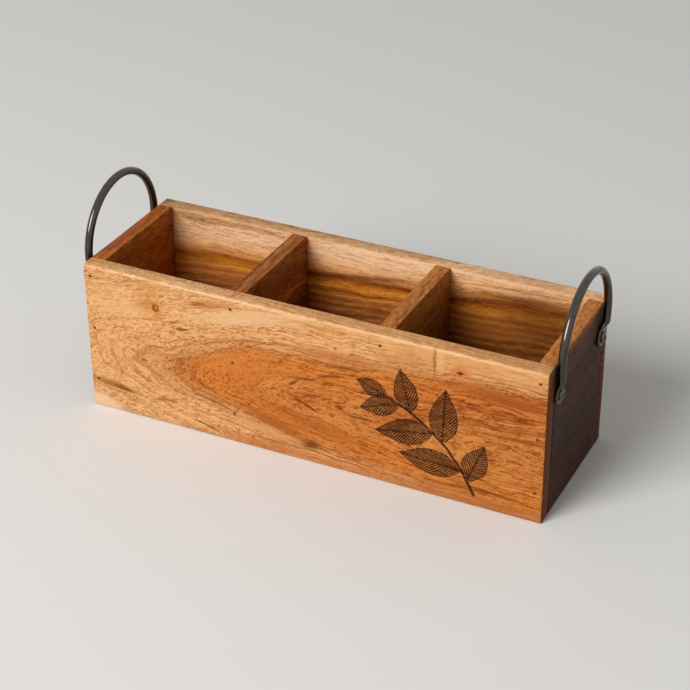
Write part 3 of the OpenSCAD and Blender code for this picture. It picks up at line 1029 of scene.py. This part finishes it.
class CADDY_OT_handles(bpy.types.Operator):
    """Build the two bent-bar handles with their pressed and drilled feet"""

    bl_idname = "caddy.handles"
    bl_label = "Handles"
    bl_options = {"REGISTER", "UNDO"}

    def execute(self, context):
        settings = context.scene.caddy_handle
        piece = self.half(settings)
        apply_modifier(piece, "MIRROR", use_axis=(False, True, False), use_clip=True,
                       merge_threshold=0.02 * MM)
        edit(piece)
        done()
        apply_modifier(piece, "SUBSURF", levels=1, render_levels=1)
        drills = []
        for name in ("right_handle_front_screw", "right_handle_back_screw"):
            low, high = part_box(name)
            middle = (low + high) / 2
            past = Vector((settings.bar, 0, 0))
            drills.append(rod(middle - past, middle + past, settings.hole / 2))
        combine(piece, drills, "DIFFERENCE")
        soften(piece, 35)
        right = copied(piece, "right_handle_bar")
        left = copied(piece, "left_handle_bar", Matrix.Rotation(math.pi, 4, "Z"))
        bpy.data.objects.remove(piece)
        # nickel plate on a dark warm grey, with a narrow line of reflected light; the dark grey
        # is partly painted reflection, standing in for dark surroundings mirrored in it
        material = plated("nickel_with_painted_dark_reflection", settings.nickel, settings.roughness, 0.3)
        finish_piece(right, material, "right_handle")
        finish_piece(left, material, "left_handle")
        return {"FINISHED"}

    def leg_sections(self, settings, leg):
        """Sections down a leg: depth, half width, and how far each is pressed, from 0 to 1."""
        bar, eye = settings.bar / 2, settings.eye / 2
        neck = math.asin((settings.press - leg) / eye)
        end = math.radians(80)
        sections = []
        for k in range(1, 9):
            share = k / 8
            pressed = share * share * (3 - 2 * share)
            sections.append((settings.press * share,
                             bar + (eye * math.cos(neck) - bar) * pressed, pressed))
        for k in range(1, 11):
            angle = neck + (end - neck) * k / 10
            sections.append((leg + eye * math.sin(angle), eye * math.cos(angle), 1))
        return sections

    def half(self, settings):
        """Half of the right handle: a leg pressed flat at its foot, and half of the loop."""
        low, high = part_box("right_handle")
        bar, eye = settings.bar / 2, settings.eye / 2
        radius = high.y - bar
        middle = Vector((high.x - bar, 0, high.z - high.y))
        leg_height = middle.z - radius * math.sin(settings.lean) - (low.z + eye)
        leg = leg_height / math.cos(settings.lean)
        piece = new_piece("half_handle", bpy.ops.mesh.primitive_circle_add, vertices=32,
                          radius=bar, location=(middle.x, radius, middle.z))
        sections = self.leg_sections(settings, leg)
        edit(piece)
        bpy.ops.mesh.select_all(action="SELECT")
        seat = settings.eye_thickness / 2
        swell = 1.35    # a section is this much too thick, until its two sides are made flat
        depth, half_width, half_depth, x = 0, bar, bar, middle.x
        for new_depth, new_width, pressed in sections:
            new_x = middle.x + (low.x + seat - middle.x) * pressed
            new_half = bar + (swell * seat - bar) * pressed
            bpy.ops.mesh.extrude_region_move(TRANSFORM_OT_translate={
                "value": (new_x - x, 0, depth - new_depth)})
            bpy.ops.transform.resize(
                value=(new_half / half_depth, new_width / half_width, 1),
                center_override=(new_x, radius, middle.z - new_depth))
            depth, half_width, half_depth, x = new_depth, new_width, new_half, new_x
        bpy.ops.mesh.edge_face_add()

        # the press leaves a flat face on each side
        for new_depth, _, pressed in sections:
            level = middle.z - new_depth
            new_x = middle.x + (low.x + seat - middle.x) * pressed
            flat = bar + (seat - bar) * pressed
            for side in (-1, 1):
                face = new_x + side * flat
                if pick(piece, "VERT", lambda v: abs(v.co.z - level) < 0.005 * MM
                        and side * (v.co.x - face) > 0):
                    bpy.ops.transform.resize(value=(0, 1, 1),
                                             center_override=(face, 0, level))

        # the loop, to the top of the handle
        pick(piece, "VERT", lambda v: v.co.z > middle.z - 0.005 * MM)
        bpy.ops.mesh.spin(steps=26, angle=math.pi / 2 + settings.lean, center=middle,
                          axis=(-1, 0, 0))
        bpy.ops.mesh.select_all(action="SELECT")
        bpy.ops.mesh.remove_doubles(threshold=0.01 * MM)
        done()
        if max(v.co.z for v in piece.data.vertices) < high.z - 0.2 * MM:
            raise RuntimeError("the handle's loop was spun downwards")
        lean = Matrix.Rotation(-settings.lean, 4, "X")
        return settle(piece, Matrix.Translation(middle) @ lean @ Matrix.Translation(-middle))


# ---- screws and brads ----


class CADDY_OT_fasteners(bpy.types.Operator):
    """Build the handle screws and the columns of brads"""

    bl_idname = "caddy.fasteners"
    bl_label = "Screws and brads"
    bl_options = {"REGISTER", "UNDO"}

    def execute(self, context):
        settings = context.scene.caddy_fastener
        zinc = plated("zinc_plated_steel", settings.zinc, 0.3, 0.5)
        steel = plated("oxidised_steel", settings.steel, 0.6, 0.5)
        screw = self.screw(settings)
        for number, name in enumerate(SCREW_NODES):
            low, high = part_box(name)
            side = 1 if "right_" in name else -1
            tip = Vector((low.x if side > 0 else high.x, (low.y + high.y) / 2,
                          (low.z + high.z) / 2))
            # each screw stopped at its own turn
            stopped = Matrix.Rotation(math.radians(25 + 40 * number), 4, "Z")
            turn = Matrix.Rotation(side * math.pi / 2, 4, "Y") @ stopped
            piece = copied(screw, name.replace("_screw", "_fixing"),
                           Matrix.Translation(tip) @ turn)
            finish_piece(piece, zinc, name)
        bpy.data.objects.remove(screw)

        brad = self.brad(settings)
        for name in BRAD_NODES:
            column = []
            for head, tip in brad_places(name):
                turn = (tip - head).to_track_quat("-Z", "Y").to_matrix().to_4x4()
                column.append(copied(brad, "brad", Matrix.Translation(head) @ turn))
            piece = joined(column, name.replace("_brads", "_nails"))
            finish_piece(piece, steel, name)
        bpy.data.objects.remove(brad)
        return {"FINISHED"}

    def screw(self, settings):
        """A pan-head screw with a cross recess and a thread, its point at the origin."""
        low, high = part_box(SCREW_NODES[0])
        length, head = high.x - low.x, (high.z - low.z) / 2
        shank, root = settings.shank / 2, settings.thread_root / 2
        dome, point, ease = 1.5 * MM, 3 * MM, 0.15 * MM
        seat = length - dome - settings.head_side
        thread_end, plain_start = seat - 2.6 * MM, seat - 2.1 * MM
        ball = (head ** 2 + dome ** 2) / (2 * dome)
        profile = [(0.05 * MM, 0.05 * MM), (root, point), (root, thread_end),
                   (shank, plain_start), (shank, seat), (head - ease, seat),
                   (head, seat + ease), (head, seat + settings.head_side)]
        for k in range(1, 9):
            ring = head * math.cos(k * math.pi / 18)
            profile.append((ring, length - ball + math.sqrt(ball ** 2 - ring ** 2)))
        profile.append((0.1 * MM, length - 0.001 * MM))
        piece = turned("screw", profile, 48)
        soften(piece, 30)

        ridge_radius, out, start = 0.42 * MM, 0.03 * MM, 2.9 * MM
        turns, steps = 4, 20
        ridge = new_piece("ridge", bpy.ops.mesh.primitive_circle_add, vertices=3,
                          radius=ridge_radius, rotation=(math.pi / 2, math.pi / 2, 0),
                          location=(root + out, 0, start))
        apply_modifier(ridge, "SCREW", axis="Z", angle=2 * math.pi,
                       screw_offset=settings.pitch, iterations=turns, steps=steps,
                       render_steps=steps, use_merge_vertices=False)
        edit(ridge)
        bpy.ops.mesh.select_all(action="SELECT")
        bpy.ops.mesh.remove_doubles(threshold=0.001 * MM)
        bpy.ops.mesh.fill_holes(sides=3)
        done()
        combine(piece, [ridge], "UNION")

        slots = []
        for turn in (0, math.pi / 2):
            slot = new_piece(
                "slot", bpy.ops.mesh.primitive_cube_add, size=1, rotation=(0, 0, turn),
                location=(0, 0, length - settings.recess_depth + 1 * MM),
                scale=(settings.recess_span, settings.recess_width, 2 * MM))
            edit(slot)
            floor = length - settings.recess_depth
            pick(slot, "VERT", lambda v: abs(v.co.z - floor) < 0.01 * MM)
            bpy.ops.transform.resize(value=(0.55, 0.55, 1), center_override=(0, 0, floor))
            done()
            slots.append(slot)
        combine(piece, slots, "DIFFERENCE")
        soften(piece, 30)
        return piece

    def brad(self, settings):
        """A wire nail with a small flat head and grip rings, its head's top at the origin."""
        low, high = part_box(BRAD_NODES[0])
        length, shank, head = high.y - low.y, settings.brad_shank / 2, settings.brad_head / 2
        point, notch = 2 * MM, 0.07 * MM
        profile = [(0.04 * MM, -length), (shank, point - length)]
        for k in range(3):
            ring = -(1.9 - 0.35 * k) * MM
            profile += [(shank, ring), (shank - notch, ring + 0.06 * MM),
                        (shank, ring + 0.2 * MM)]
        profile += [(shank, -0.6 * MM), (head - 0.1 * MM, -0.6 * MM), (head, -0.5 * MM),
                    (head, -0.1 * MM), (head - 0.12 * MM, -0.02 * MM), (0.3 * MM, 0)]
        piece = turned("brad", profile, 20)
        soften(piece, 35)
        return piece


# ---- stage ----


def seen_directly(tree):
    """1 for what the eye sees by itself, in a reflection or through glass, and 0 for light."""
    rays = node(tree, "LightPath").outputs
    seen = node(tree, "Math", {0: rays["Is Camera Ray"], 1: rays["Is Glossy Ray"]},
                operation="MAXIMUM")
    return node(tree, "Math", {0: seen, 1: rays["Is Transmission Ray"]}, operation="MAXIMUM")


class CADDY_OT_stage(bpy.types.Operator):
    """Set the plain floor, the soft light and the camera"""

    bl_idname = "caddy.stage"
    bl_label = "Stage"
    bl_options = {"REGISTER", "UNDO"}

    def execute(self, context):
        settings = context.scene.caddy_stage
        context.scene.view_settings.view_transform = "Standard"
        self.floor(settings)
        self.world(context, settings)
        self.key(context, settings)
        self.camera(context, settings)
        return {"FINISHED"}

    def floor(self, settings):
        """A plain painted floor, pale to the eye and duller in what it throws back."""
        span = 6
        ground = new_piece("floor", bpy.ops.mesh.primitive_plane_add, size=span)
        material, tree, _ = new_material("painted_board_floor")
        tone = node(tree, "Mix", {
            "Factor": seen_directly(tree), "A": list(settings.floor_bounce),
            "B": list(settings.floor)}, data_type="RGBA")
        surface = node(tree, "BsdfPrincipled", {"Base Color": tone, "Roughness": 0.85})
        node(tree, "OutputMaterial", {"Surface": surface})
        ground.data.materials.append(material)

    def world(self, context, settings):
        """White to the eye and in reflections, and a softer even light on the object."""
        world = bpy.data.worlds.new("studio")
        context.scene.world = world
        world.use_nodes = True
        tree = world.node_tree
        tree.nodes.clear()
        strength = node(tree, "MapRange", {
            "Value": seen_directly(tree), "To Min": settings.fill, "To Max": 1})
        background = node(tree, "Background", {"Color": (1, 1, 1), "Strength": strength})
        node(tree, "OutputWorld", {"Surface": background})

    def key(self, context, settings):
        """A soft box to the left of the front."""
        turn, rise = settings.key_azimuth, settings.key_elevation
        back = Vector((-math.sin(turn) * math.cos(rise), -math.cos(turn) * math.cos(rise),
                       math.sin(rise)))
        lamp = bpy.data.lights.new("soft_box", "AREA")
        lamp.shape = "DISK"
        lamp.size = settings.key_size
        lamp.energy = settings.key
        holder = bpy.data.objects.new("soft_box", lamp)
        aim = Vector((0, 0, BOX_HIGH.z / 2))
        holder.location = aim + settings.key_distance * back
        holder.rotation_euler = back.to_track_quat("Z", "Y").to_euler()
        context.scene.collection.objects.link(holder)

    def camera(self, context, settings):
        """The camera at the photograph's viewing angle."""
        turn, rise, roll = settings.azimuth, settings.elevation, settings.roll
        ahead = Vector((-math.sin(turn) * math.cos(rise), math.cos(turn) * math.cos(rise),
                        -math.sin(rise)))
        level = Vector((math.cos(turn), math.sin(turn), 0))
        upright = level.cross(ahead)
        right = math.cos(roll) * level + math.sin(roll) * upright
        up = math.cos(roll) * upright - math.sin(roll) * level
        data = bpy.data.cameras.new("camera")
        data.lens = settings.lens
        data.sensor_width = 36
        camera = bpy.data.objects.new("camera", data)
        turned_view = Matrix((right, up, -ahead)).transposed().to_4x4()
        camera.matrix_world = Matrix.Translation(settings.place) @ turned_view
        context.scene.collection.objects.link(camera)
        context.scene.camera = camera


class CADDY_PT_panel(bpy.types.Panel):
    """The caddy's steps, in order"""

    bl_idname = "CADDY_PT_panel"
    bl_label = "Utensil Caddy"
    bl_space_type = "VIEW_3D"
    bl_region_type = "UI"
    bl_category = "Caddy"

    def draw(self, context):
        for each in STEPS:
            self.layout.operator(each.bl_idname)
        for name in SETTINGS:
            box = self.layout.box()
            group = getattr(context.scene, name)
            for key in group.__annotations__:
                box.prop(group, key)


SETTINGS = {
    "caddy_wood": CaddyWoodSettings,
    "caddy_handle": CaddyHandleSettings,
    "caddy_fastener": CaddyFastenerSettings,
    "caddy_stage": CaddyStageSettings,
}
STEPS = [CADDY_OT_boards, CADDY_OT_floor, CADDY_OT_handles, CADDY_OT_fasteners,
         CADDY_OT_stage]
CLASSES = [*SETTINGS.values(), *STEPS, CADDY_PT_panel]


def register():
    for each in CLASSES:
        bpy.utils.register_class(each)
    for name, group in SETTINGS.items():
        setattr(bpy.types.Scene, name, PointerProperty(type=group))


def unregister():
    for name in SETTINGS:
        delattr(bpy.types.Scene, name)
    for each in reversed(CLASSES):
        bpy.utils.unregister_class(each)


def main():
    """Builds the whole caddy and its stage."""
    register()
    bpy.ops.caddy.boards()
    bpy.ops.caddy.floor()
    bpy.ops.caddy.handles()
    bpy.ops.caddy.fasteners()
    bpy.ops.caddy.stage()


if __name__ == "__main__":
    main()
